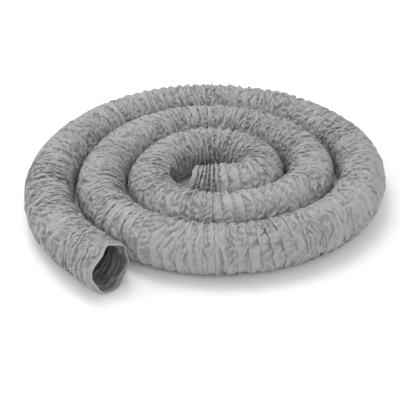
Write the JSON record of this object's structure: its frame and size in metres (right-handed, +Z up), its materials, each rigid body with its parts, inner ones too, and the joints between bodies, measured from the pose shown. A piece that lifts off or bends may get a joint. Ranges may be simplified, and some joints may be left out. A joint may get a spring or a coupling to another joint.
{
  "type": "flexible air duct",
  "caption": "Wire-reinforced grey fabric air duct lying in a flat coil, both ends open, with a free outer end that bends, lifts and stretches.",
  "frame": {"origin": "centre of the coil's plan outline, on the floor", "axes": "+Z up, out of the coil's plane; the open outer end lies at -X -Y and points towards +X -Y"},
  "size_m": [0.9958, 0.9637, 0.1306],
  "materials": {
    "outer_fabric": "satin coated fabric, crumpled",
    "inner_fabric": "satin coated fabric, crumpled",
    "hem_fabric": "welded double fabric",
    "spring_steel": "drawn spring wire"
  },
  "bodies": {
    "coil": {"inner_end_hem": "hem_fabric", "outer_ply_bellows_4": "outer_fabric", "inner_ply_bellows_4": "inner_fabric", "wire_helix_bellows_4": "spring_steel", "outer_ply_coil_01": "outer_fabric", "outer_ply_coil_02": "outer_fabric", "outer_ply_coil_03": "outer_fabric", "outer_ply_coil_04": "outer_fabric", "outer_ply_coil_05": "outer_fabric", "outer_ply_coil_06": "outer_fabric", "outer_ply_coil_07": "outer_fabric", "outer_ply_coil_08": "outer_fabric", "outer_ply_coil_09": "outer_fabric", "outer_ply_coil_10": "outer_fabric", "outer_ply_coil_11": "outer_fabric", "outer_ply_coil_12": "outer_fabric", "outer_ply_coil_13": "outer_fabric", "outer_ply_coil_14": "outer_fabric", "outer_ply_coil_15": "outer_fabric", "outer_ply_coil_16": "outer_fabric", "outer_ply_coil_17": "outer_fabric", "outer_ply_coil_18": "outer_fabric", "outer_ply_coil_19": "outer_fabric", "outer_ply_coil_20": "outer_fabric", "inner_ply_turn_1": "inner_fabric", "wire_helix_turn_1": "spring_steel", "inner_ply_turn_2": "inner_fabric", "wire_helix_turn_2": "spring_steel", "inner_ply_turn_3": "inner_fabric", "wire_helix_turn_3": "spring_steel"},
    "end_link_3": {"outer_ply_bellows_3": "outer_fabric", "inner_ply_bellows_3": "inner_fabric", "wire_helix_bellows_3": "spring_steel", "outer_ply_link_3": "outer_fabric", "inner_ply_link_3": "inner_fabric", "wire_helix_link_3": "spring_steel"},
    "end_link_2": {"outer_ply_bellows_2": "outer_fabric", "inner_ply_bellows_2": "inner_fabric", "wire_helix_bellows_2": "spring_steel", "outer_ply_link_2": "outer_fabric", "inner_ply_link_2": "inner_fabric", "wire_helix_link_2": "spring_steel"},
    "end_link_1": {"outer_ply_bellows_1": "outer_fabric", "inner_ply_bellows_1": "inner_fabric", "wire_helix_bellows_1": "spring_steel", "outer_ply_link_1": "outer_fabric", "inner_ply_link_1": "inner_fabric", "wire_helix_link_1": "spring_steel"},
    "mouth_end": {"mouth_hem": "hem_fabric", "outer_ply_mouth": "outer_fabric", "inner_ply_mouth": "inner_fabric", "wire_helix_mouth": "spring_steel"}
  },
  "joints": [
    {"name": "end_swing_inner", "type": "hinge", "parent": "coil", "child": "end_link_3", "pos_m": [-0.43186, -0.07851, 0.0653], "axis": [0, 0, -1], "range_deg": [0, 25], "deforming": ["outer_ply_bellows_4", "inner_ply_bellows_4", "wire_helix_bellows_4"]},
    {"name": "end_lift", "type": "hinge", "parent": "end_link_3", "child": "end_link_2", "pos_m": [-0.41065, -0.19122, 0.0653], "axis": [-0.9509, -0.3095, 0], "range_deg": [0, 20], "deforming": ["outer_ply_bellows_3", "inner_ply_bellows_3", "wire_helix_bellows_3"]},
    {"name": "end_swing_outer", "type": "hinge", "parent": "end_link_2", "child": "end_link_1", "pos_m": [-0.36111, -0.29463, 0.0653], "axis": [0, 0, -1], "range_deg": [0, 25], "deforming": ["outer_ply_bellows_2", "inner_ply_bellows_2", "wire_helix_bellows_2"]},
    {"name": "mouth_stretch", "type": "slide", "parent": "end_link_1", "child": "mouth_end", "axis": [0.7052, -0.709, 0], "range_m": [-0.025, 0.04], "deforming": ["outer_ply_bellows_1", "inner_ply_bellows_1", "wire_helix_bellows_1"]}
  ],
  "couplings": [
    {"joint": "end_swing_outer", "follows": "end_swing_inner", "ratio": 1}
  ]
}
